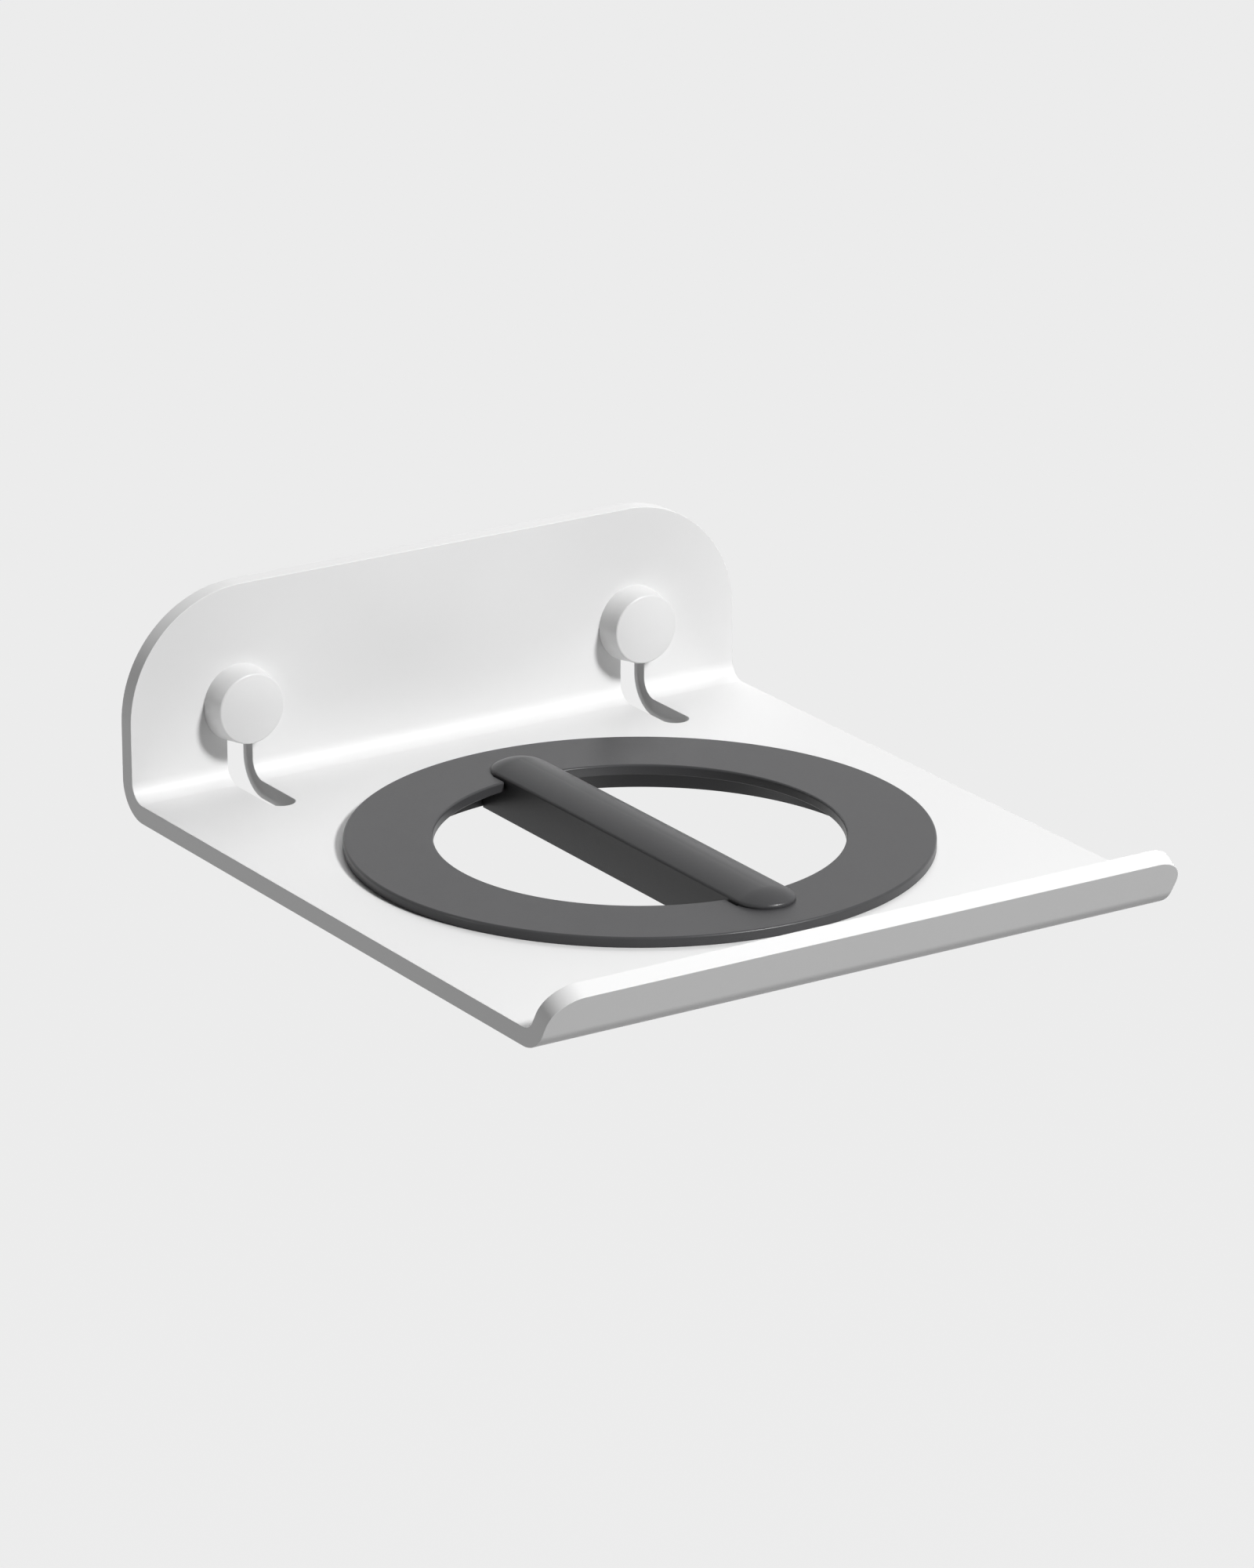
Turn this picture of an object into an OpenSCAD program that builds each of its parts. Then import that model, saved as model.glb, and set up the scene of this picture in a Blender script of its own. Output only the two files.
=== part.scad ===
// Hair straightener holder: a folded shelf for a wall, a round insert in its
// hole, and a divider across the opening that the two arms hang over.
// The origin is on the wall face, midway between the two wall studs.
// X runs along the wall, +Y points into the wall and +Z is up.

/* [Folded sheet] */
// Thickness of the sheet
sheet_t = 4; // [2:0.5:6]
// Width of the shelf and of the wall flange
shelf_w = 150; // [140:1:220]
// Flat of the shelf between the wall and the insert's rim
rear_land = 22.3; // [16:0.1:40]
// Flat of the shelf between the rim and the line where the front lip turns up
front_land = 18.7; // [10:0.1:60]
// Height of the wall flange above the underside of the shelf
flange_h = 47; // [42:1:80]
// Inner radius of both folds
fold_r = 4; // [2:0.5:6]
// Radius of the two upper corners of the flange
flange_corner_r = 27; // [5:1:30]
// Angle at which the front lip rises above the shelf
lip_angle = 60; // [30:5:90]
// Length of the lip's outer face, from the line where it turns up
lip_len = 14.3; // [13:0.1:25]
// Radius of the lip's two upper corners
lip_corner_r = 7; // [2:0.5:8]

/* [Wall fixing] */
// Distance between the two studs
stud_spacing = 98; // [60:1:110]
// Height of the studs above the underside of the shelf
stud_h = 21; // [20:1:30]
// Diameter of a stud's thread in the wall
stud_d = 5; // [4:0.5:6]
// Mean diameter of a stud's finer thread, in the sheet and in the knob
stud_knob_d = 4.5; // [3:0.5:5]
// Length of a stud behind the flange, in the wall
stud_wall_len = 25; // [10:1:60]
// Width of the slots in the sheet
slot_w = 6; // [5.5:0.5:8]
// Reach from the wall to the far end of a slot
slot_reach = 24; // [14:1:26]

/* [Knobs] */
// Diameter of a knob where it meets the flange
knob_d = 17; // [14:0.5:24]
// Taper of a knob, which makes its face this much narrower
knob_taper = 1.7; // [0:0.1:4]
// Height of a knob at the edge of its face
knob_h = 5.6; // [4:0.1:12]
// Rise of the domed face above its edge
knob_dome_h = 0.9; // [0.2:0.1:2]
// Rounding of the edge of a knob's face
knob_edge_r = 0.4; // [0.2:0.1:1]
// Thickness of the face over the end of the blind hole
knob_face_t = 1.2; // [0.8:0.1:2]

/* [Round insert] */
// Inner diameter of the collar that passes through the shelf
collar_d = 104; // [90:1:112]
// Wall of the collar
collar_wall = 2.2; // [1.5:0.1:3]
// Length of collar that stands out under the shelf
collar_drop = 2.2; // [1:0.1:8]
// Width of the rim on the shelf, outside the shelf's hole
rim_seat = 6.5; // [3:0.5:10]
// Width of the rim inside the collar, round the opening
rim_lip = 9.5; // [6:0.5:16]
// Thickness of the rim
ring_t = 2.2; // [1.5:0.1:4]
// Rounding along the rim's edges
ring_edge_r = 0.6; // [0.2:0.1:0.7]

/* [Divider] */
// Width of the divider
divider_w = 13; // [8:0.5:20]
// Length of each round end of the divider that lies on the rim
divider_rest = 10; // [6:0.5:14]
// Height of the cap's side above the rim
cap_side_h = 0.7; // [0.4:0.1:2]
// Height of the arch above the cap's side
arch_h = 2; // [0.5:0.1:4]
// Depth of the notches that the divider drops into
notch_depth = 4; // [2:0.5:5]

/* [Fits] */
// Gap between the collar and the hole in the shelf
collar_gap = 0.3; // [0.1:0.1:1]
// Gap on each side of the divider in its notches
notch_gap = 0.3; // [0.1:0.1:1]
// Gap between the divider's foot and the underside of the rim
grip_gap = 0.2; // [0.1:0.1:0.5]
// Gap between the end of the divider's foot and the collar
foot_gap = 0.5; // [0.2:0.1:1]
// Gap around and beyond a stud in its blind hole
thread_gap = 0.1; // [0.05:0.05:0.3]

/* [Hidden] */

$fn = 96;
// Overrun of every cutter past the face that it cuts
over = 1;
// Chamfer on both ends of a stud
stud_chamfer = 0.8;

// Heights above the origin, which is level with the studs
under_z = -stud_h;
shelf_z = under_z + sheet_t;
rim_z = shelf_z + ring_t;
foot_z = under_z - collar_drop;

// Both folds share one outer radius and this many steps
fold_out_r = fold_r + sheet_t;
fold_steps = 24;
// The fold at the lip takes this much of the shelf and of the lip
lip_fold_run = fold_out_r * tan(lip_angle / 2);

// Diameters of the hole in the shelf, the rim and the opening, from the collar
hole_d = collar_d + 2 * (collar_wall + collar_gap);
ring_d = hole_d + 2 * rim_seat;
opening_d = collar_d - 2 * rim_lip;
// Reach from the wall to the insert's centre and to the line where the lip turns up
ring_reach = rear_land + ring_d / 2;
shelf_reach = ring_reach + ring_d / 2 + front_land;

// The arch across the divider is part of a circle through both sides and its crown
arch_r = (pow(divider_w / 2, 2) + pow(arch_h, 2)) / (2 * arch_h);
// The round ends of the divider turn about these two points
end_y = opening_d / 2 + divider_rest - divider_w / 2;
notch_end = opening_d / 2 + notch_depth;

// Depth of the blind hole in a knob, and length of stud inside it
knob_hole_h = knob_h + knob_dome_h - knob_face_t;
stud_grip = knob_hole_h - thread_gap;

// Points of a fold along an arc about its centre, from one angle to another.
function fold_arc(centre, r, from, to) = [
    for (i = [0:fold_steps])
        let (a = from + (to - from) * i / fold_steps) centre + r * [cos(a), sin(a)]
];

// Side view of the folded sheet, with the wall face on the vertical axis: down
// the wall face, along the underside, up the lip and back over the inner faces.
// The flange and the lip are left long, for leg_end_cutter() to trim.
module sheet_profile() {
    rear = [-fold_out_r, fold_out_r];
    front = [lip_fold_run - shelf_reach, fold_out_r];
    outward = [-sin(lip_angle), -cos(lip_angle)];
    lip_end = front + (lip_len + over - lip_fold_run) * [-cos(lip_angle), sin(lip_angle)];
    flange_end = flange_h + over;
    polygon(concat(
        [[0, flange_end]],
        fold_arc(rear, fold_out_r, 360, 270),
        fold_arc(front, fold_out_r, 270, 270 - lip_angle),
        [lip_end + fold_out_r * outward, lip_end + fold_r * outward],
        fold_arc(front, fold_r, 270 - lip_angle, 270),
        fold_arc(rear, fold_r, 270, 360),
        [[-sheet_t, flange_end]]
    ));
}

// Cutter that trims the upper end of the flange or the lip to its height and
// rounds its two corners. The leg stands on the X axis, towards +Y.
module leg_end_cutter(leg_h, corner_r) {
    half_w = shelf_w / 2;
    flat_half_w = half_w - corner_r;
    translate([0, sheet_t + over, 0]) rotate([90, 0, 0])
        linear_extrude(height = sheet_t + 2 * over)
            difference() {
                translate([-half_w - over, leg_h - corner_r]) square([2 * (half_w + over), corner_r + 2 * over]);
                translate([-flat_half_w, leg_h - corner_r]) square([2 * flat_half_w, corner_r]);
                for (x = [-flat_half_w, flat_half_w]) translate([x, leg_h - corner_r]) circle(r = corner_r);
            }
}

// Cutter of one slot: down the flange, round the fold and on to the shelf.
module slot_cutter() {
    shelf_end = slot_reach - slot_w / 2;
    translate([-slot_w / 2, -shelf_end, under_z - over]) cube([slot_w, shelf_end + over, stud_h + over]);
    translate([0, over, 0]) rotate([90, 0, 0]) cylinder(d = slot_w, h = sheet_t + 2 * over);
    translate([0, -shelf_end, under_z - over]) cylinder(d = slot_w, h = sheet_t + 2 * over);
}

module shelf() {
    // the lip's corners stay on its flat part
    lip_round_r = min(lip_corner_r, lip_len - lip_fold_run);
    color("white")
    difference() {
        translate([0, 0, under_z]) rotate([90, 0, 90])
            linear_extrude(height = shelf_w, center = true) sheet_profile();
        translate([0, -sheet_t, under_z]) leg_end_cutter(flange_h, flange_corner_r);
        translate([0, -shelf_reach, under_z]) rotate([90 - lip_angle, 0, 0])
            leg_end_cutter(lip_len, lip_round_r);
        translate([0, -ring_reach, under_z - over]) cylinder(d = hole_d, h = sheet_t + 2 * over, $fn = 180);
        for (side = [-1, 1]) translate([side * stud_spacing / 2, 0, 0]) slot_cutter();
    }
}

// Half section of the rim: flat below, with rounded edges above and round the opening.
module rim_profile() {
    inner = opening_d / 2;
    outer = ring_d / 2;
    round_top = ring_t - ring_edge_r;
    translate([inner + ring_edge_r, 0]) square([outer - inner - 2 * ring_edge_r, ring_t]);
    translate([inner, ring_edge_r]) square([outer - inner, ring_t - 2 * ring_edge_r]);
    translate([outer - 2 * ring_edge_r, 0]) square([2 * ring_edge_r, 2 * ring_edge_r]);
    for (x = [inner + ring_edge_r, outer - ring_edge_r]) translate([x, round_top]) circle(r = ring_edge_r, $fn = 32);
    translate([inner + ring_edge_r, ring_edge_r]) circle(r = ring_edge_r, $fn = 32);
}

// Half section of the whole insert: the rim on the shelf and the collar in the hole.
module insert_profile() {
    translate([0, shelf_z]) rim_profile();
    translate([collar_d / 2, foot_z]) square([collar_wall, shelf_z + ring_t / 2 - foot_z]);
}

module ring_insert() {
    notch_w = divider_w + 2 * notch_gap;
    color("dimgray")
    translate([0, -ring_reach, 0]) difference() {
        rotate_extrude($fn = 180) insert_profile();
        translate([-notch_w / 2, -notch_end, shelf_z - over]) cube([notch_w, 2 * notch_end, ring_t + 2 * over]);
    }
}

// Section of the cap: the arch from one side to the other, on its flat base.
module arch_profile() {
    crown = cap_side_h + arch_h;
    intersection() {
        translate([-divider_w / 2, 0]) square([divider_w, crown + over]);
        translate([0, crown - arch_r]) circle(r = arch_r);
    }
}

// The cap lies on the rim: an arch with domed round ends.
module divider_cap() {
    translate([0, end_y, 0]) rotate([90, 0, 0]) linear_extrude(height = 2 * end_y) arch_profile();
    for (side = [0, 1]) mirror([0, side, 0]) translate([0, end_y, 0])
        rotate_extrude(angle = 180) intersection() {
            arch_profile();
            square(divider_w + over);
        }
}

module divider() {
    web_len = 2 * (notch_end - notch_gap);
    foot_r = collar_d / 2 - foot_gap;
    foot_top = shelf_z - grip_gap;
    color("dimgray")
    translate([0, -ring_reach, 0]) {
        translate([0, 0, rim_z]) divider_cap();
        translate([-divider_w / 2, -web_len / 2, foot_z]) cube([divider_w, web_len, rim_z - foot_z]);
        translate([0, 0, foot_z]) intersection() {
            cylinder(r = foot_r, h = foot_top - foot_z, $fn = 180);
            translate([-divider_w / 2, -foot_r, 0]) cube([divider_w, 2 * foot_r, foot_top - foot_z]);
        }
    }
}

// Half section of a knob, from its seat up to its domed face.
module knob_profile() {
    seat_r = knob_d / 2;
    face_r = (knob_d - knob_taper) / 2;
    lean = atan((seat_r - face_r) / knob_h);
    // centre of the edge rounding, which the leaning side runs into
    round_x = face_r - knob_edge_r * tan((90 - lean) / 2);
    round_y = knob_h - knob_edge_r;
    // the dome is part of a circle through the top of that rounding and the crown
    dome_r = (pow(round_x, 2) + pow(knob_dome_h, 2)) / (2 * knob_dome_h);
    polygon([
        [0, 0],
        [seat_r, 0],
        [round_x + knob_edge_r * cos(lean), round_y + knob_edge_r * sin(lean)],
        [round_x, round_y],
        [round_x, knob_h],
        [0, knob_h]
    ]);
    translate([round_x, round_y]) circle(r = knob_edge_r, $fn = 32);
    intersection() {
        translate([0, knob_h]) square([round_x, knob_dome_h + over]);
        translate([0, knob_h + knob_dome_h - dome_r]) circle(r = dome_r, $fn = 180);
    }
}

module knob() {
    color("white")
    translate([0, -sheet_t, 0]) rotate([90, 0, 0]) difference() {
        rotate_extrude() knob_profile();
        translate([0, 0, -over]) cylinder(d = stud_knob_d + 2 * thread_gap, h = knob_hole_h + over);
    }
}

module left_knob() {
    translate([-stud_spacing / 2, 0, 0]) knob();
}

module right_knob() {
    translate([stud_spacing / 2, 0, 0]) knob();
}

// Half section of a stud, from its end in the wall to its end in the knob. The
// shoulder between its two threads is level with the wall face.
module stud_profile() {
    wall_r = stud_d / 2;
    knob_r = stud_knob_d / 2;
    stud_len = stud_wall_len + sheet_t + stud_grip;
    polygon([
        [0, 0],
        [wall_r - stud_chamfer, 0],
        [wall_r, stud_chamfer],
        [wall_r, stud_wall_len],
        [knob_r, stud_wall_len],
        [knob_r, stud_len - stud_chamfer],
        [knob_r - stud_chamfer, stud_len],
        [0, stud_len]
    ]);
}

module stud() {
    color("silver")
    translate([0, stud_wall_len, 0]) rotate([90, 0, 0]) rotate_extrude() stud_profile();
}

module left_stud() {
    translate([-stud_spacing / 2, 0, 0]) stud();
}

module right_stud() {
    translate([stud_spacing / 2, 0, 0]) stud();
}

shelf();
ring_insert();
divider();
left_knob();
right_knob();
left_stud();
right_stud();
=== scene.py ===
import math

import bmesh
import bpy
from mathutils import Matrix, Vector


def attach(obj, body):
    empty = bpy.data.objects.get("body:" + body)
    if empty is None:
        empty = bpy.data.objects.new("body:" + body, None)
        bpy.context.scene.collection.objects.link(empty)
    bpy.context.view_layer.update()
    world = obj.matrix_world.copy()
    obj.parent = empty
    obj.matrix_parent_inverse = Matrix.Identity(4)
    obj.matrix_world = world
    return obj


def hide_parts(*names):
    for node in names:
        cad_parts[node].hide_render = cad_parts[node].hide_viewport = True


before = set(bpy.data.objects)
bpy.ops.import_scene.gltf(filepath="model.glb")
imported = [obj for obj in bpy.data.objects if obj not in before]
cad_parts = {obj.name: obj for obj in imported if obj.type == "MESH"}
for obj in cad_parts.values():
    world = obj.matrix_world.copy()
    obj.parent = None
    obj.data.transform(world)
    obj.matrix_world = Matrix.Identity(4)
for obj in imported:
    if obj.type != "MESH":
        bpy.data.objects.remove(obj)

bl_info = {
    "name": "Hair straightener holder",
    "version": (1, 0, 0),
    "blender": (4, 5, 0),
    "location": "View3D > Sidebar > Holder",
    "description": "Builds a folded wall shelf with a round insert, a divider, knobs and studs",
    "category": "Add Mesh",
}

MM = 0.001
# Verts that are closer than this are merged.
MERGE = 2e-6
SELECT_MODES = {"verts": "VERT", "edges": "EDGE", "faces": "FACE"}


# Sizes and colours that a user would change. Lengths are in metres.

def length(name, description, millimetres):
    return bpy.props.FloatProperty(
        name=name, description=description, default=millimetres * MM,
        min=0, unit="LENGTH", precision=5,
    )


def angle(name, description, degrees):
    return bpy.props.FloatProperty(
        name=name, description=description, default=math.radians(degrees), unit="ROTATION"
    )


def colour(name, description, value):
    return bpy.props.FloatVectorProperty(
        name=name, description=description, default=value,
        min=0, max=1, size=3, subtype="COLOR",
    )


def share(name, description, value):
    return bpy.props.FloatProperty(
        name=name, description=description, default=value, min=0, max=1, subtype="FACTOR"
    )


def power(name, description, watts):
    return bpy.props.FloatProperty(
        name=name, description=description, default=watts, min=0, unit="POWER"
    )


class ShelfSizes(bpy.types.PropertyGroup):
    thickness: length("Sheet", "Thickness of the folded sheet", 4)
    width: length("Width", "Width of the shelf and the wall flange", 150)
    reach: length("Reach", "From the wall to the line where the lip turns up", 163)
    flange: length("Flange", "Height of the wall flange above the shelf's underside", 47)
    underside: length("Underside", "How far the shelf's underside lies under the studs", 21)
    fold: length("Fold", "Inner radius of both folds", 4)
    flange_corner: length("Flange corner", "Radius of the flange's two upper corners", 27)
    lip: length("Lip", "Length of the lip's outer face", 14.3)
    lip_corner: length("Lip corner", "Radius of the lip's two upper corners", 7)
    lip_angle: angle("Lip angle", "Angle of the lip above the shelf", 60)
    hole: length("Hole", "Diameter of the hole in the shelf", 109)
    hole_reach: length("Hole reach", "From the wall to the middle of the hole", 83.3)
    slot: length("Slot", "Width of the two slots", 6)
    slot_reach: length("Slot reach", "From the wall to the far end of a slot", 24)
    coat_edge: length("Coated edge", "Rounding that the coat gives to the sheet's edges", 0.25)


class InsertSizes(bpy.types.PropertyGroup):
    rim: length("Rim", "Outer diameter of the rim on the shelf", 122)
    opening: length("Opening", "Diameter of the opening", 85)
    rim_thickness: length("Rim thickness", "Thickness of the rim", 2.2)
    rim_edge: length("Rim edge", "Rounding along the rim's upper edges", 0.5)
    collar: length("Collar", "Inner diameter of the collar", 104)
    collar_wall: length("Collar wall", "Wall of the collar", 2.2)
    collar_drop: length("Collar drop", "How far the collar stands out under the shelf", 2.2)
    notch: length("Notch", "Depth of the two notches in the rim", 4)
    gap: length("Notch gap", "Gap on each side of the divider in its notches", 0.3)
    divider: length("Divider", "Width of the divider", 13)
    divider_end: length("Divider end", "Length of each round end that lies on the rim", 10)
    cap_side: length("Cap side", "Height of the divider's side above the rim", 0.7)
    cap_edge: length("Cap edge", "Rounding between the divider's side and its arch", 0.4)
    arch: length("Arch", "Height of the divider's arch above its side", 2)
    foot_gap: length("Foot gap", "Gap between the divider's foot and the collar", 0.5)
    grip_gap: length("Grip gap", "Gap between the divider's foot and the rim's underside", 0.2)


class FixingSizes(bpy.types.PropertyGroup):
    spacing: length("Spacing", "Distance between the two studs", 98)
    knob: length("Knob", "Diameter of a knob on the flange", 17)
    taper: length("Taper", "How much narrower a knob's face is", 1.7)
    knob_height: length("Knob height", "Height of a knob at the edge of its face", 5.6)
    dome: length("Dome", "Rise of a knob's domed face", 0.9)
    knob_edge: length("Knob edge", "Rounding of the edge of a knob's face", 0.4)
    face: length("Knob face", "Thickness over the end of the blind hole", 1.2)
    wall_thread: length("Wall thread", "Diameter of a stud's thread in the wall", 5)
    wall_length: length("Wall length", "Length of a stud in the wall", 25)
    knob_thread: length("Knob thread", "Mean diameter of a stud's finer thread", 4.5)
    thread_gap: length("Thread gap", "Gap around and beyond a stud in its knob", 0.1)


class FinishSettings(bpy.types.PropertyGroup):
    coat: colour("Powder coat", "Colour of the coated sheet", (0.76, 0.76, 0.76))
    coat_gloss: share("Coat roughness", "Roughness of the powder coat", 0.5)
    moulding: colour("Moulding", "Colour of the insert and the divider", (0.046, 0.046, 0.048))
    moulding_gloss: share("Moulding roughness", "Roughness of the moulding", 0.34)
    knob: colour("Knobs", "Colour of the knobs", (0.76, 0.76, 0.76))
    knob_gloss: share("Knob roughness", "Roughness of the knobs", 0.38)
    zinc: colour("Zinc", "Colour of the zinc-plated studs", (0.68, 0.69, 0.7))


class StageSettings(bpy.types.PropertyGroup):
    backdrop: colour("Backdrop", "Colour of the floor and of what is behind it", (0.84, 0.84, 0.84))
    key: power("Key light", "Softbox high in front, a little to the right", 28.6)
    rear: power("Rear light", "Softbox behind, high on the right", 7.4)
    left: power("Left light", "Softbox on the left, a little behind the shelf", 4.0)
    low: power("Low light", "Softbox in front, under the shelf", 5.6)
    fill: share("Fill", "Strength of the light from all round", 0.02)
    floor_drop: length("Floor", "Depth of the floor below the studs", 1500)


# Modelling, as by hand: one piece is in edit mode at a time.

def alone(add, name, **settings):
    """Adds a primitive with nothing else selected, and puts its place in its mesh."""
    stretch = settings.pop("stretch", (1, 1, 1))
    bpy.ops.object.select_all(action="DESELECT")
    add(**settings)
    piece = bpy.context.object
    piece.name = piece.data.name = name
    piece.scale = stretch
    bpy.ops.object.transform_apply(location=True, rotation=True, scale=True)
    return piece


def block(name, low, high):
    """A box between two corners."""
    low, high = Vector(low), Vector(high)
    return alone(
        bpy.ops.mesh.primitive_cube_add, name, size=1,
        location=(low + high) / 2, stretch=high - low,
    )


def open_up(piece):
    """Puts a piece in edit mode, with nothing of it selected."""
    bpy.ops.object.select_all(action="DESELECT")
    piece.select_set(True)
    bpy.context.view_layer.objects.active = piece
    bpy.ops.object.mode_set(mode="EDIT")
    bpy.ops.mesh.select_mode(type="FACE")
    bpy.ops.mesh.select_all(action="DESELECT")


def select_all(kind=None):
    """Selects all of the piece in edit mode."""
    if kind:
        bpy.ops.mesh.select_mode(type=kind)
    bpy.ops.mesh.select_all(action="SELECT")


def close_up():
    bpy.ops.object.mode_set(mode="OBJECT")


def pick(kind, test):
    """Selects only the verts, edges or faces of the piece in edit mode that pass a test."""
    bpy.ops.mesh.select_mode(type=SELECT_MODES[kind])
    bpy.ops.mesh.select_all(action="DESELECT")
    shape = bmesh.from_edit_mesh(bpy.context.object.data)
    shape.normal_update()
    found = [part for part in getattr(shape, kind) if test(part)]
    if not found:
        raise RuntimeError(f"no {kind} of {bpy.context.object.name} were found to select")
    for part in found:
        part.select_set(True)
    bmesh.update_edit_mesh(bpy.context.object.data)


def near(a, b, tolerance=2e-6):
    return abs(a - b) < tolerance


def at(edge, axis, value):
    """Whether both ends of an edge lie at that x, y or z."""
    return all(near(getattr(v.co, axis), value) for v in edge.verts)


def looks(direction):
    """A test for faces whose normal points that way."""
    return lambda face: face.normal.dot(Vector(direction)) > 0.999


def pull(x=0, y=0, z=0):
    bpy.ops.mesh.extrude_region_move(TRANSFORM_OT_translate={"value": (x, y, z)})


def tidy(gap=MERGE):
    """Merges doubles and turns every face outwards."""
    select_all()
    bpy.ops.mesh.remove_doubles(threshold=gap)
    bpy.ops.mesh.normals_make_consistent(inside=False)


def apply(piece, kind, **settings):
    """Adds a modifier to a piece and applies it."""
    bpy.ops.object.select_all(action="DESELECT")
    piece.select_set(True)
    bpy.context.view_layer.objects.active = piece
    change = piece.modifiers.new(kind.title(), kind)
    for name, value in settings.items():
        setattr(change, name, value)
    bpy.ops.object.modifier_apply(modifier=change.name)


def combine(piece, other, operation="DIFFERENCE"):
    """Cuts another solid away from a piece, or adds it, and removes the other."""
    apply(piece, "BOOLEAN", operation=operation, solver="EXACT", object=other)
    bpy.data.objects.remove(other)


def flatten(piece, degrees=0.3, gap=MERGE):
    """Joins the flat faces that cutting has left in pieces, and removes slivers."""
    open_up(piece)
    tidy(gap)
    bpy.ops.mesh.dissolve_degenerate(threshold=gap)
    bpy.ops.mesh.dissolve_limited(angle_limit=math.radians(degrees))
    close_up()


def shade(piece, degrees, weight):
    """Shades a piece smooth up to an angle, with its flats kept flat."""
    bpy.ops.object.shade_smooth_by_angle(angle=math.radians(degrees))
    apply(piece, "WEIGHTED_NORMAL", mode="FACE_AREA", weight=weight, keep_sharp=True)


def soften(piece, width, segments=3, degrees=35):
    """Rounds and shades a piece's edges that are sharper than an angle."""
    apply(
        piece, "BEVEL", width=width, segments=segments, limit_method="ANGLE",
        angle_limit=math.radians(degrees), use_clamp_overlap=True, miter_outer="MITER_ARC",
    )
    open_up(piece)
    tidy()
    close_up()
    shade(piece, degrees=50, weight=100)


def turn_and_move(piece, turn, move):
    """Turns a finished shape about the origin and moves it, all in its mesh."""
    piece.matrix_world = Matrix.Translation(Vector(move)) @ turn
    bpy.ops.object.select_all(action="DESELECT")
    piece.select_set(True)
    bpy.context.view_layer.objects.active = piece
    bpy.ops.object.transform_apply(location=True, rotation=True, scale=True)


def copy_of(piece, name):
    """A copy of a piece, with its own mesh."""
    twin = piece.copy()
    twin.data = piece.data.copy()
    twin.name = twin.data.name = name
    bpy.context.collection.objects.link(twin)
    return twin


def fit_in(piece, node, finish):
    """Gives a piece its finish, and puts it in the place of its CAD node."""
    piece.data.materials.clear()
    piece.data.materials.append(finish)
    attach(piece, "root")
    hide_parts(node)


# Finishes. A strand is what comes out of a node.

class Strand:
    """A node's output, whose sums and products are Math nodes."""

    def __init__(self, finish, socket):
        self.finish, self.socket = finish, socket

    def joined(self, operation, first, second):
        sockets = {0: first, 1: second}
        return self.finish.node("ShaderNodeMath", {"operation": operation}, sockets)

    def __add__(self, other):
        return self.joined("ADD", self, other)

    __radd__ = __add__

    def __mul__(self, other):
        return self.joined("MULTIPLY", self, other)

    __rmul__ = __mul__


class Finish:
    """A material, or the world, whose nodes are added one by one."""

    def __init__(self, owner):
        self.owner = owner
        owner.use_nodes = True
        self.tree = owner.node_tree
        self.tree.nodes.clear()

    def node(self, kind, settings=None, inputs=None, output=0):
        """Adds a node, sets it up, then feeds its sockets with values or strands."""
        made = self.tree.nodes.new(kind)
        for name, value in (settings or {}).items():
            setattr(made, name, value)
        for socket, value in (inputs or {}).items():
            if isinstance(value, Strand):
                self.tree.links.new(value.socket, made.inputs[socket])
            else:
                made.inputs[socket].default_value = value
        return Strand(self, made.outputs[output])

    def speckle(self, size, detail=2.0, roughness=0.5, stretch=(1, 1, 1)):
        """Soft noise on Object coordinates, with spots of about that size, from 0 to 1."""
        place = self.node("ShaderNodeTexCoord", output="Object")
        spot = self.node("ShaderNodeMapping", None, {"Vector": place, "Scale": stretch})
        sockets = {"Vector": spot, "Scale": 1 / size, "Detail": detail, "Roughness": roughness}
        return self.node("ShaderNodeTexNoise", None, sockets, output="Fac")

    def tint(self, amount, first, second):
        """A colour between two, by a strand from 0 to 1."""
        # A Mix node's sockets 6 and 7 take its two colours, and its third output gives one.
        sockets = {"Factor": amount, 6: (*first, 1), 7: (*second, 1)}
        return self.node("ShaderNodeMix", {"data_type": "RGBA"}, sockets, output=2)

    def mottle(self, amount, tone, spread):
        """A colour that strays from a tone by a share of it, darker and lighter."""
        return self.tint(amount, scaled(tone, 1 - spread), scaled(tone, 1 + spread))

    def relief(self, height, depth):
        """Bumps of that depth, in metres."""
        sockets = {"Strength": 1.0, "Distance": depth, "Height": height}
        return self.node("ShaderNodeBump", None, sockets)

    def surface(self, **sockets):
        """Ends in a Principled shader, whose sockets are named with underscores."""
        named = {
            name.replace("_", " ").title().replace("Ior", "IOR"): value
            for name, value in sockets.items()
        }
        self.end(self.node("ShaderNodeBsdfPrincipled", None, named))
        return self.owner

    def end(self, shader):
        of_world = isinstance(self.owner, bpy.types.World)
        kind = "ShaderNodeOutputWorld" if of_world else "ShaderNodeOutputMaterial"
        self.tree.links.new(shader.socket, self.tree.nodes.new(kind).inputs["Surface"])


def scaled(tone, by):
    return tuple(min(1, value * by) for value in tone)


def powder_coat(looks_like):
    """Satin white powder coat: a faint orange peel and a finer grain in it."""
    made = Finish(bpy.data.materials.new("powder_coat"))
    peel = made.speckle(1.6 * MM, 2, 0.45)
    grain = made.speckle(0.35 * MM, 3, 0.6)
    cloud = made.speckle(28 * MM, 2)
    return made.surface(
        base_color=made.mottle(cloud, looks_like.coat, 0.008),
        roughness=looks_like.coat_gloss - 0.05 + 0.06 * cloud + 0.04 * grain,
        normal=made.relief(peel + 0.25 * grain, 0.012 * MM),
    )


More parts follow.
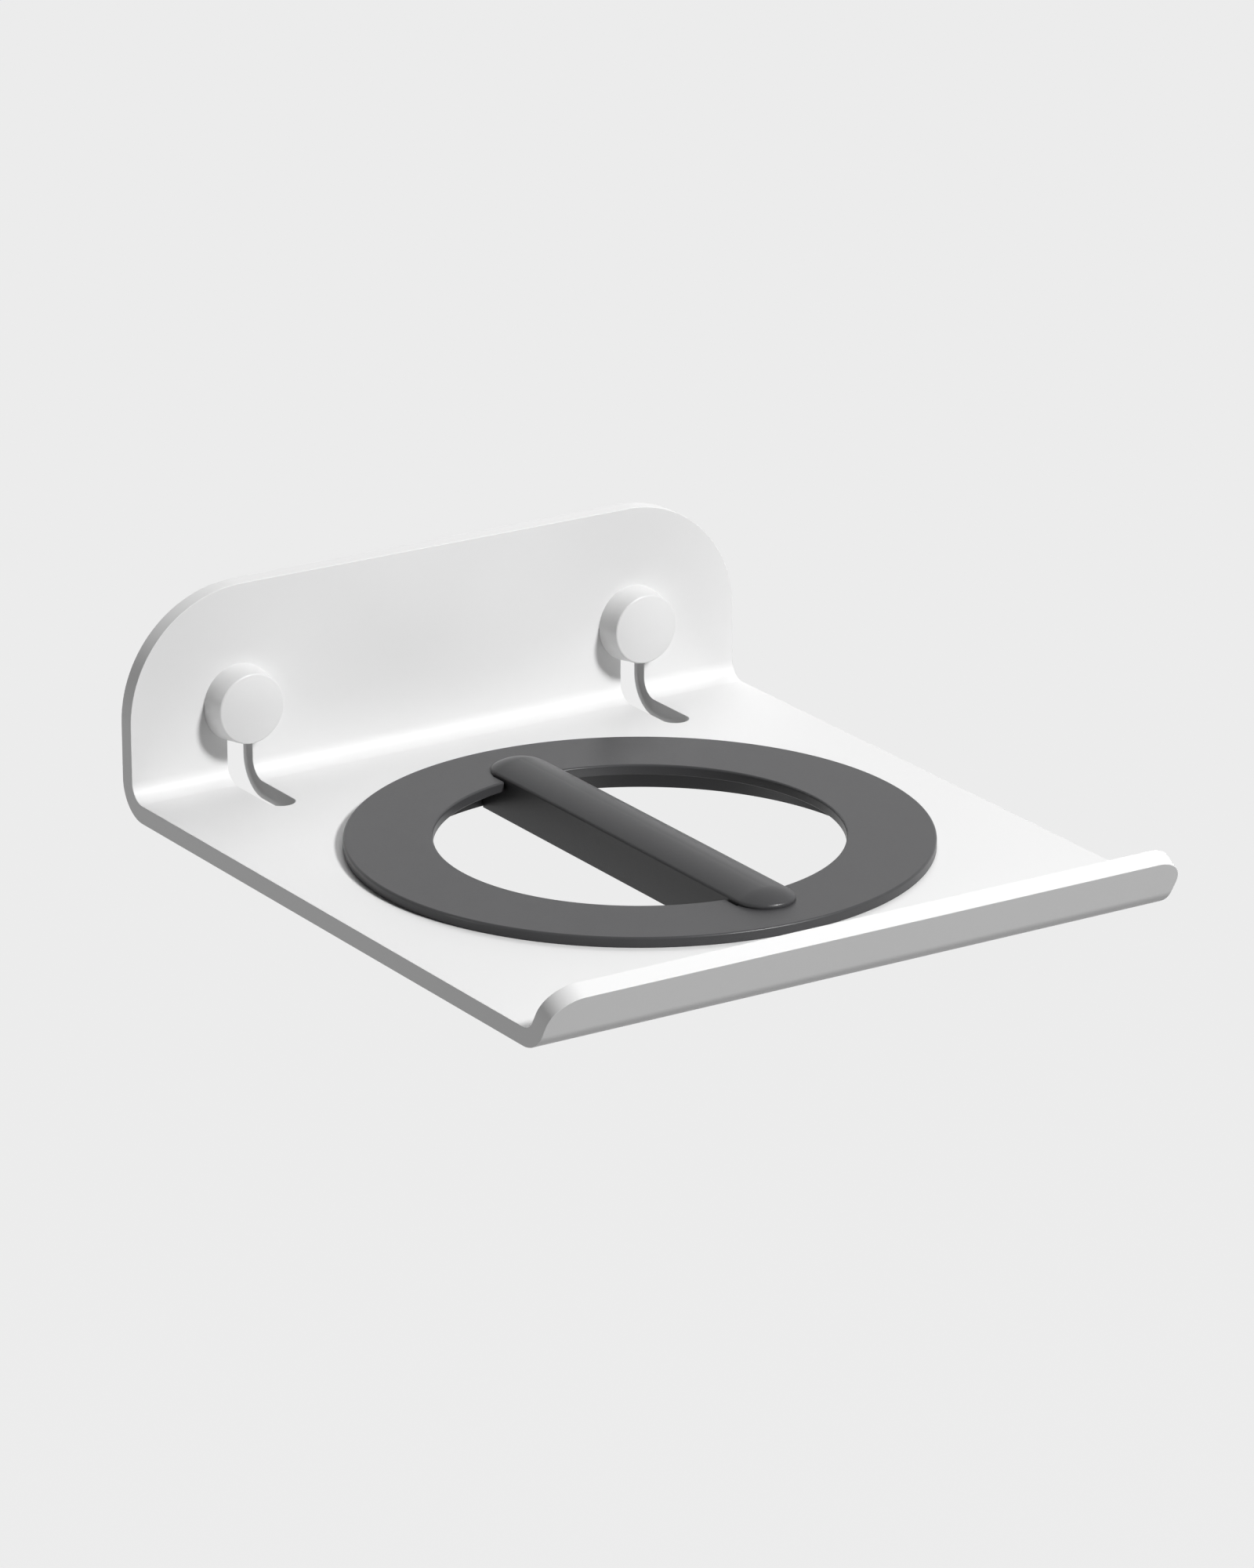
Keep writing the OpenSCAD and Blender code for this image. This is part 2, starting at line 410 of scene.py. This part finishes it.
def matte_moulding(looks_like):
    """Dark grey moulding with a fine grain."""
    made = Finish(bpy.data.materials.new("matte_moulding"))
    grain = made.speckle(0.3 * MM, 3, 0.65)
    patch = made.speckle(9 * MM, 2)
    return made.surface(
        base_color=made.mottle(0.7 * grain + 0.3 * patch, looks_like.moulding, 0.1),
        roughness=looks_like.moulding_gloss - 0.06 + 0.08 * grain + 0.04 * patch,
        specular_ior_level=0.3,
        normal=made.relief(grain, 0.02 * MM),
    )


def knob_plastic(looks_like):
    """Satin white plastic, smoother than the coat."""
    made = Finish(bpy.data.materials.new("knob_plastic"))
    fine = made.speckle(0.25 * MM, 2, 0.5)
    patch = made.speckle(6 * MM, 2)
    return made.surface(
        base_color=made.mottle(patch, looks_like.knob, 0.01),
        roughness=looks_like.knob_gloss - 0.04 + 0.05 * patch + 0.03 * fine,
        normal=made.relief(fine, 0.004 * MM),
    )


def zinc_plate(looks_like):
    """Zinc-plated steel: drawn along the stud, a little cloudy."""
    made = Finish(bpy.data.materials.new("zinc_plate"))
    drawn = made.speckle(0.5 * MM, 3, 0.6, stretch=(1, 0.08, 1))
    cloud = made.speckle(3 * MM, 2)
    return made.surface(
        base_color=made.tint(cloud, scaled(looks_like.zinc, 0.9), scaled(looks_like.zinc, 1.06)),
        metallic=1.0,
        roughness=0.26 + 0.12 * cloud + 0.08 * drawn,
        normal=made.relief(drawn, 0.01 * MM),
    )


def studio(owner):
    """Starts the floor or the air, with a strand that is 1 for the rays that see it pale.

    Those are camera, glossy and transmission rays. It sends little light to the rest.
    """
    made = Finish(owner)
    seen = made.node("ShaderNodeLightPath", output="Is Camera Ray")
    glossy = made.node("ShaderNodeLightPath", output="Is Glossy Ray")
    through = made.node("ShaderNodeLightPath", output="Is Transmission Ray")
    shown = made.node("ShaderNodeMath", {"operation": "MAXIMUM"}, {0: seen, 1: glossy})
    return made, made.node("ShaderNodeMath", {"operation": "MAXIMUM"}, {0: shown, 1: through})


class Making:
    """What the operators share: their options, and where they find a finish."""

    bl_options = {"REGISTER", "UNDO"}

    @staticmethod
    def finish(make, context):
        known = bpy.data.materials.get(make.__name__)
        return known or make(context.scene.holder_finish)


ROUND_STEPS = 180
FACING_FRONT = (math.pi / 2, 0, 0)


def domed(half, rise, rings=14):
    """The insets that raise a flat face to a round dome: across, up, and the height so far."""
    curve = (half ** 2 + rise ** 2) / (2 * rise)
    lean = math.asin(half / curve)
    across, height = half, 0.0
    for step in range(1, rings):
        turn = lean * (1 - step / rings)
        next_across = curve * math.sin(turn)
        next_height = curve * math.cos(turn) - curve + rise
        yield across - next_across, next_height - height, height
        across, height = next_across, next_height


class HOLDER_OT_shelf(Making, bpy.types.Operator):
    """Folds the white sheet: flange, shelf and front lip, with its round hole and two slots"""

    bl_idname = "holder.shelf"
    bl_label = "Folded shelf"

    def execute(self, context):
        size = context.scene.holder_shelf
        half = size.width / 2
        under = -size.underside
        top = under + size.flange
        outer = size.fold + size.thickness
        run = outer * math.tan(size.lip_angle / 2)
        bend_z = under + outer
        front_y = run - size.reach
        sheet = block("folded_shelf", (-half, -size.thickness, bend_z), (half, 0, top))
        open_up(sheet)
        pick("faces", looks((0, 0, -1)))
        bpy.ops.mesh.spin(
            steps=24, angle=math.pi / 2, center=(0, -outer, bend_z), axis=(1, 0, 0),
        )
        pull(y=front_y + outer)
        bpy.ops.mesh.spin(
            steps=18, angle=size.lip_angle, center=(0, front_y, bend_z), axis=(1, 0, 0),
        )
        rise = Vector((0, -math.cos(size.lip_angle), math.sin(size.lip_angle)))
        pull(*(rise * (size.lip - run)))
        tidy()
        self.round_corners(half, Vector((0, 0, 1)), size.flange_corner, 28)
        self.round_corners(half, rise, size.lip_corner, 14)
        close_up()
        combine(sheet, alone(
            bpy.ops.mesh.primitive_cylinder_add, "hole", vertices=ROUND_STEPS,
            radius=size.hole / 2, depth=4 * size.thickness,
            location=(0, -size.hole_reach, under + size.thickness / 2),
        ))
        spacing = context.scene.holder_fixing.spacing
        reach = outer + MM
        for x in (-spacing / 2, spacing / 2):
            upright = (x, -reach, under - MM), (x, MM, size.slot / 2)
            flat = (x, -size.slot_reach, under - MM), (x, MM, under + reach)
            combine(sheet, self.slot_cutter(*upright, size.slot, axis="z", end=1))
            combine(sheet, self.slot_cutter(*flat, size.slot, axis="y", end=0))
        flatten(sheet)
        soften(sheet, size.coat_edge)
        fit_in(sheet, "shelf", self.finish(powder_coat, context))
        return {"FINISHED"}

    @staticmethod
    def round_corners(half, along, radius, segments):
        """Rounds the two corners at the end of the leg that points along a direction."""
        shape = bmesh.from_edit_mesh(bpy.context.object.data)
        end = max(vert.co.dot(along) for vert in shape.verts)

        def corner(edge):
            a, b = (vert.co for vert in edge.verts)
            at_end = near(a.dot(along), end) and near(b.dot(along), end)
            return at_end and near(abs(a.x), half) and near(a.x, b.x)

        pick("edges", corner)
        bpy.ops.mesh.bevel(offset=radius, segments=segments, profile=0.5, affect="EDGES")

    @staticmethod
    def slot_cutter(low, high, width, axis, end):
        """A bar as wide as a slot, rounded at its low (0) or high (1) end along an axis."""
        low, high = Vector(low), Vector(high)
        low.x, high.x = low.x - width / 2, high.x + width / 2
        place = getattr((low, high)[end], axis)
        bar = block("slot", low, high)
        open_up(bar)
        pick("edges", lambda edge: at(edge, axis, place) and at(edge, "x", edge.verts[0].co.x))
        bpy.ops.mesh.bevel(offset=width / 2 - MERGE, segments=24, profile=0.5, affect="EDGES")
        close_up()
        return bar


class HOLDER_OT_insert(Making, bpy.types.Operator):
    """Turns the dark insert: its rim on the shelf, its collar through it, and two notches"""

    bl_idname = "holder.insert"
    bl_label = "Round insert"

    # Rounding of the edges that face down, and of the notches' edges.
    LOWER_EDGE, NOTCH_EDGE = 0.2 * MM, 0.25 * MM

    def execute(self, context):
        size = context.scene.holder_insert
        shelf = context.scene.holder_shelf
        seat = shelf.thickness - shelf.underside
        top = seat + size.rim_thickness
        foot = -shelf.underside - size.collar_drop
        inner, outer = size.opening / 2, size.rim / 2
        collar_in = size.collar / 2
        collar_out = collar_in + size.collar_wall
        centre = Vector((0, -shelf.hole_reach, 0))
        ring = alone(
            bpy.ops.mesh.primitive_plane_add, "round_insert", size=1,
            location=((inner + outer) / 2, centre.y, seat + size.rim_thickness / 2),
            rotation=FACING_FRONT, stretch=(outer - inner, size.rim_thickness, 1),
        )
        open_up(ring)
        for x in (collar_in, collar_out):
            select_all()
            bpy.ops.mesh.bisect(plane_co=(x, centre.y, 0), plane_no=(1, 0, 0))
        pick("edges", lambda edge: at(edge, "z", seat) and all(
            collar_in - MM < v.co.x < collar_out + MM for v in edge.verts
        ))
        pull(z=foot - seat)
        tidy()
        bpy.ops.mesh.dissolve_limited(angle_limit=0.01)
        pick("verts", lambda v: near(v.co.z, top))
        bpy.ops.mesh.bevel(offset=size.rim_edge, segments=6, profile=0.5, affect="VERTICES")
        pick("verts", lambda v: near(v.co.z, foot) or (
            near(v.co.z, seat) and (near(v.co.x, outer) or near(v.co.x, inner))
        ))
        bpy.ops.mesh.bevel(offset=self.LOWER_EDGE, segments=3, profile=0.5, affect="VERTICES")
        select_all()
        bpy.ops.mesh.delete(type="ONLY_FACE")
        select_all()
        bpy.ops.mesh.spin(steps=ROUND_STEPS, angle=2 * math.pi, center=centre, axis=(0, 0, 1))
        tidy()
        close_up()
        wide = size.divider / 2 + size.gap
        deep = inner + size.notch
        combine(ring, block(
            "notch", centre + Vector((-wide, -deep, seat - MM)),
            centre + Vector((wide, deep, top + MM)),
        ))
        flatten(ring, degrees=0.05)
        soften(ring, self.NOTCH_EDGE, segments=2, degrees=45)
        fit_in(ring, "ring_insert", self.finish(matte_moulding, context))
        return {"FINISHED"}


class HOLDER_OT_divider(Making, bpy.types.Operator):
    """Builds the divider: an arched cap with domed round ends, its straight body and its foot"""

    bl_idname = "holder.divider"
    bl_label = "Divider"

    # Rounding of the edges other than the arch's, and the sides of each round end's quarter.
    OTHER_EDGE, QUARTER = 0.08 * MM, 16

    def execute(self, context):
        size = context.scene.holder_insert
        shelf = context.scene.holder_shelf
        seat = shelf.thickness - shelf.underside
        foot = -shelf.underside - size.collar_drop
        rim_top = seat + size.rim_thickness
        half = size.divider / 2
        reach = size.opening / 2 + size.divider_end
        centre = Vector((0, -shelf.hole_reach, 0))
        cap = alone(
            bpy.ops.mesh.primitive_plane_add, "divider_bar", size=1,
            location=(centre.x, centre.y, rim_top), stretch=(size.divider, 2 * reach, 1),
        )
        open_up(cap)
        select_all("VERT")
        bpy.ops.mesh.bevel(
            offset=half - MERGE / 2, segments=self.QUARTER, profile=0.5, affect="VERTICES",
        )
        select_all()
        bpy.ops.mesh.remove_doubles(threshold=2 * MERGE)
        select_all("FACE")
        pull(z=size.cap_side)
        bpy.ops.mesh.normals_make_consistent(inside=False)
        cap_top = rim_top + size.cap_side
        for across, rise, height in domed(half, size.arch):
            pick("faces", lambda face: face.normal.z > 0.9 and all(
                near(v.co.z, cap_top + height, 5e-6) for v in face.verts
            ))
            bpy.ops.mesh.inset(thickness=across, depth=rise, use_even_offset=True)
        tidy()
        pick("edges", lambda edge: at(edge, "z", cap_top))
        bpy.ops.mesh.bevel(offset=size.cap_edge, segments=5, profile=0.5, affect="EDGES")
        close_up()
        body_end = size.opening / 2 + size.notch - size.gap
        # The body reaches a little way up into the cap.
        combine(cap, block(
            "body", centre + Vector((-half, -body_end, foot)),
            centre + Vector((half, body_end, rim_top + 0.4 * size.cap_side)),
        ), "UNION")
        # The foot's ends follow the round of the collar.
        long = size.collar / 2 - size.foot_gap
        base = block(
            "foot", centre + Vector((-half, -long - MM, foot)),
            centre + Vector((half, long + MM, seat - size.grip_gap)),
        )
        combine(base, alone(
            bpy.ops.mesh.primitive_cylinder_add, "round_end", vertices=ROUND_STEPS,
            radius=long, depth=30 * MM, location=(centre.x, centre.y, foot),
        ), "INTERSECT")
        combine(cap, base, "UNION")
        flatten(cap)
        soften(cap, self.OTHER_EDGE, segments=2)
        fit_in(cap, "divider", self.finish(matte_moulding, context))
        return {"FINISHED"}


class HOLDER_OT_knobs(Making, bpy.types.Operator):
    """Shapes a tapered knob with a domed face and a blind hole, and copies it for the other side"""

    bl_idname = "holder.knobs"
    bl_label = "Knobs"

    SIDES = 96

    def execute(self, context):
        size = context.scene.holder_fixing
        sheet = context.scene.holder_shelf.thickness
        seat_r, face_r = size.knob / 2, (size.knob - size.taper) / 2
        front = -sheet - size.knob_height
        knob = alone(
            bpy.ops.mesh.primitive_circle_add, "knob_left", vertices=self.SIDES, radius=seat_r,
            fill_type="NGON", location=(0, -sheet, 0), rotation=FACING_FRONT,
        )
        open_up(knob)
        select_all()
        pull(y=-size.knob_height)
        narrow = face_r / seat_r
        bpy.ops.transform.resize(value=(narrow, 1, narrow), center_override=(0, front, 0))
        tidy()
        pick("edges", lambda edge: at(edge, "y", front))
        bpy.ops.mesh.bevel(offset=size.knob_edge, segments=5, profile=0.5, affect="EDGES")
        pick("faces", lambda face: face.normal.y < -0.999 and face.calc_area() > face_r ** 2)
        shape = bmesh.from_edit_mesh(knob.data)
        face_edge = max(v.co.x for face in shape.faces if face.select for v in face.verts)
        for across, rise, _ in domed(face_edge, size.dome):
            bpy.ops.mesh.inset(thickness=across, depth=rise, use_even_offset=True)
        pick("faces", lambda face: face.normal.y > 0.999)
        hole = size.knob_thread / 2 + size.thread_gap
        bpy.ops.mesh.inset(thickness=seat_r - hole, use_even_offset=True)
        pull(y=-(size.knob_height + size.dome - size.face))
        tidy()
        close_up()
        shade(knob, degrees=40, weight=50)
        pair = (knob, -1, "left_knob"), (copy_of(knob, "knob_right"), 1, "right_knob")
        for piece, side, node in pair:
            turn_and_move(piece, Matrix.Identity(4), (side * size.spacing / 2, 0, 0))
            fit_in(piece, node, self.finish(knob_plastic, context))
        return {"FINISHED"}


class HOLDER_OT_studs(Making, bpy.types.Operator):
    """Cuts one stud with its two threads, and copies it for the other side"""

    bl_idname = "holder.studs"
    bl_label = "Studs"

    # Pitch and end chamfer of the thread in the wall and of the finer one in the knob.
    WALL_PITCH, WALL_CHAMFER = 0.8 * MM, 0.8 * MM
    FINE_PITCH, FINE_CHAMFER = 0.5 * MM, 0.4 * MM
    # How far the finer thread runs on inside the other, and how much narrower it is than
    # the knob's hole.
    OVERLAP, CLEARANCE = 1.3 * MM, 0.02 * MM
    # Shares of the pitch: the groove's depth and the crest's width.
    DEPTH, CREST = 0.54, 0.2
    # Steps in one turn of a thread, and sides of the blank that gives it its ends.
    STEPS, SIDES = 28, 96

    def execute(self, context):
        size = context.scene.holder_fixing
        sheet = context.scene.holder_shelf.thickness
        inside = sheet + size.knob_height + size.dome - size.face - size.thread_gap
        hole = size.knob_thread + 2 * size.thread_gap
        stud = self.threaded(
            "stud_left", width=size.wall_thread, pitch=self.WALL_PITCH,
            start=0, end=size.wall_length, tip=size.wall_length, chamfer=self.WALL_CHAMFER,
        )
        fine = self.threaded(
            "fine_thread", width=hole - self.CLEARANCE, pitch=self.FINE_PITCH,
            start=-inside, end=self.OVERLAP, tip=-inside, chamfer=self.FINE_CHAMFER,
        )
        combine(stud, fine, "UNION")
        flatten(stud, degrees=0.05, gap=2 * MERGE)
        bpy.ops.object.shade_smooth_by_angle(angle=math.radians(28))
        pair = (stud, -1, "left_stud"), (copy_of(stud, "stud_right"), 1, "right_stud")
        for piece, side, node in pair:
            turn = Matrix.Rotation(-math.pi / 2, 4, "X")
            turn_and_move(piece, turn, (side * size.spacing / 2, 0, 0))
            fit_in(piece, node, self.finish(zinc_plate, context))
        return {"FINISHED"}

    def threaded(self, name, width, pitch, start, end, tip, chamfer):
        """A threaded bar on the vertical axis, chamfered at the end that is its tip."""
        crest, root = width / 2, width / 2 - self.DEPTH * pitch
        turns = math.ceil((end - start) / pitch) + 4
        # The thread starts two turns low, and a little off, so that no cut meets its corners.
        first = start - 2.01 * pitch
        bar = alone(
            bpy.ops.mesh.primitive_plane_add, name, size=1,
            location=((crest + root) / 2, 0, first), rotation=FACING_FRONT,
            stretch=(crest - root, pitch, 1),
        )
        open_up(bar)
        pick("verts", lambda v: near(v.co.x, crest))
        bpy.ops.transform.resize(value=(1, 1, self.CREST), center_override=(crest, 0, first))
        pick("edges", lambda edge: at(edge, "x", root))
        bpy.ops.mesh.delete(type="EDGE")
        close_up()
        apply(
            bar, "SCREW", axis="Z", screw_offset=pitch, iterations=turns,
            steps=self.STEPS, render_steps=self.STEPS,
        )
        open_up(bar)
        tidy()
        for height, off in ((start - pitch, "clear_inner"), (end + pitch, "clear_outer")):
            select_all()
            bpy.ops.mesh.bisect(
                plane_co=(0, 0, height), plane_no=(0, 0, 1),
                use_fill=True, threshold=1e-8, **{off: True},
            )
        select_all()
        bpy.ops.mesh.normals_make_consistent(inside=False)
        bpy.ops.mesh.quads_convert_to_tris()
        close_up()
        # The blank is a little wider than the thread, so that it shapes only the two ends.
        blank = alone(
            bpy.ops.mesh.primitive_cylinder_add, "blank", vertices=self.SIDES,
            radius=crest + 0.01 * MM, depth=end - start, location=(0, 0, (end + start) / 2),
        )
        open_up(blank)
        pick("edges", lambda edge: at(edge, "z", tip))
        bpy.ops.mesh.bevel(offset=chamfer, segments=1, affect="EDGES")
        close_up()
        combine(bar, blank, "INTERSECT")
        return bar


class HOLDER_OT_stage(Making, bpy.types.Operator):
    """Sets up the pale floor, the soft lights and the camera"""

    bl_idname = "holder.stage"
    bl_label = "Stage"

    # Where the camera stands, in degrees and millimetres, and its focal length in pixels
    # of a picture that is so many pixels tall.
    AZIMUTH, ELEVATION, ROLL = -32.5797, 19.4424, -0.0831
    AWAY, ASIDE, UP = 1602.8053, -42.2472, 7.3812
    FOCAL_PIXELS, TALL = 9531.9656, 2000

    # Each softbox's direction from the shelf, its distance and its width, in metres.
    LAMPS = {
        "key": ((0.29, -0.673, 0.68), 1.6, 0.3),
        "rear": ((0.4, 0.5, 0.75), 1.3, 0.8),
        "left": ((-1.0, 0.2, -0.1), 1.3, 0.4),
        "low": ((0.1, -0.8, -0.55), 1.5, 1.0),
    }
    # How much of the floor glows where it is seen, by how much more than its colour, and
    # how pale it is to the light that falls on it.
    GLOWING, LIFT, DIM = 0.93, 1.07, 0.22

    def execute(self, context):
        look = context.scene.holder_stage
        self.camera(context, context.scene.holder_shelf.underside)
        for name, (towards, away, wide) in self.LAMPS.items():
            lamp = self.lamp(context, name, towards, away, wide, getattr(look, name))
            # The rear light isn't mirrored in the moulding.
            lamp.visible_glossy = name != "rear"
        self.floor(look)
        self.air(context, look)
        context.scene.view_settings.view_transform = "Standard"
        return {"FINISHED"}

    def floor(self, look):
        """A pale floor that keeps the shadow, and sends little light back up."""
        floor = alone(
            bpy.ops.mesh.primitive_plane_add, "floor", size=24,
            location=(0, 0, -look.floor_drop),
        )
        made, shown = studio(bpy.data.materials.new("pale_floor"))
        cloud = made.speckle(0.12, 3)
        lit = made.node("ShaderNodeBsdfPrincipled", None, {
            "Base Color": made.mottle(cloud, look.backdrop, 0.01),
            "Roughness": 0.85 + 0.1 * cloud, "Specular IOR Level": 0.1,
            "Normal": made.relief(made.speckle(0.004, 2), 0.1 * MM),
        })
        bright = (*scaled(look.backdrop, self.LIFT), 1)
        glow = made.node("ShaderNodeEmission", None, {"Color": bright, "Strength": 1.0})
        dim = made.node("ShaderNodeBsdfDiffuse", None, {
            "Color": (self.DIM, self.DIM, self.DIM, 1),
        })
        pale = made.node("ShaderNodeMixShader", None, {0: self.GLOWING, 1: lit, 2: glow})
        made.end(made.node("ShaderNodeMixShader", None, {0: shown, 1: dim, 2: pale}))
        floor.data.materials.append(made.owner)

    def air(self, context, look):
        """Air that shows as the backdrop and gives a faint fill."""
        context.scene.world = bpy.data.worlds.new("studio_air")
        made, shown = studio(context.scene.world)
        around, behind = (
            made.node("ShaderNodeBackground", None, {"Color": (*tone, 1), "Strength": strength})
            for tone, strength in (((1, 1, 1), look.fill), (look.backdrop, 1.0))
        )
        made.end(made.node("ShaderNodeMixShader", None, {0: shown, 1: around, 2: behind}))

    def camera(self, context, under):
        """Sets the camera up where the picture was taken from."""
        a, e, roll = (math.radians(x) for x in (self.AZIMUTH, self.ELEVATION, self.ROLL))
        back = Vector((math.sin(a) * math.cos(e), -math.cos(a) * math.cos(e), math.sin(e)))
        level = Vector((math.cos(a), math.sin(a), 0))
        right = math.cos(roll) * level + math.sin(roll) * back.cross(level)
        up = math.cos(roll) * back.cross(level) - math.sin(roll) * level
        place = (back * self.AWAY - right * self.ASIDE - up * self.UP) * MM - Vector((0, 0, under))
        lens = bpy.data.cameras.new("camera")
        lens.sensor_fit, lens.sensor_width = "AUTO", 36
        lens.lens = self.FOCAL_PIXELS * lens.sensor_width / self.TALL
        lens.clip_start, lens.clip_end = 0.05, 60
        seen = bpy.data.objects.new("camera", lens)
        context.collection.objects.link(seen)
        seen.matrix_world = Matrix((*zip(right, up, back, place), (0, 0, 0, 1)))
        context.scene.camera = seen

    @staticmethod
    def lamp(context, name, towards, away, wide, power):
        """A round softbox, out of sight, that faces the middle of the shelf."""
        middle = Vector((0, -0.08, -0.01))
        towards = Vector(towards).normalized()
        light = bpy.data.lights.new(name, "AREA")
        light.shape, light.size, light.energy = "DISK", wide, power
        lamp = bpy.data.objects.new(name, light)
        context.collection.objects.link(lamp)
        lamp.location = middle + towards * away
        lamp.rotation_euler = towards.to_track_quat("Z", "Y").to_euler()
        lamp.visible_camera = False
        return lamp


class HOLDER_PT_panel(bpy.types.Panel):
    """Lists the holder's sizes, finishes and pieces"""

    bl_label = "Hair straightener holder"
    bl_space_type = "VIEW_3D"
    bl_region_type = "UI"
    bl_category = "Holder"

    def draw(self, context):
        for group in GROUPS:
            box = self.layout.box()
            settings = getattr(context.scene, group)
            for name in GROUPS[group].__annotations__:
                box.prop(settings, name)
        for operator in OPERATORS:
            self.layout.operator(operator.bl_idname)


GROUPS = {
    "holder_shelf": ShelfSizes,
    "holder_insert": InsertSizes,
    "holder_fixing": FixingSizes,
    "holder_finish": FinishSettings,
    "holder_stage": StageSettings,
}
OPERATORS = (
    HOLDER_OT_shelf,
    HOLDER_OT_insert,
    HOLDER_OT_divider,
    HOLDER_OT_knobs,
    HOLDER_OT_studs,
    HOLDER_OT_stage,
)


def register():
    for name, group in GROUPS.items():
        bpy.utils.register_class(group)
        setattr(bpy.types.Scene, name, bpy.props.PointerProperty(type=group))
    for operator in OPERATORS:
        bpy.utils.register_class(operator)
    bpy.utils.register_class(HOLDER_PT_panel)


def unregister():
    bpy.utils.unregister_class(HOLDER_PT_panel)
    for operator in reversed(OPERATORS):
        bpy.utils.unregister_class(operator)
    for name, group in reversed(GROUPS.items()):
        delattr(bpy.types.Scene, name)
        bpy.utils.unregister_class(group)


def main():
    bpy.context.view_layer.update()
    register()
    for operator in OPERATORS:
        family, name = operator.bl_idname.split(".")
        getattr(getattr(bpy.ops, family), name)()


if __name__ == "__main__":
    main()
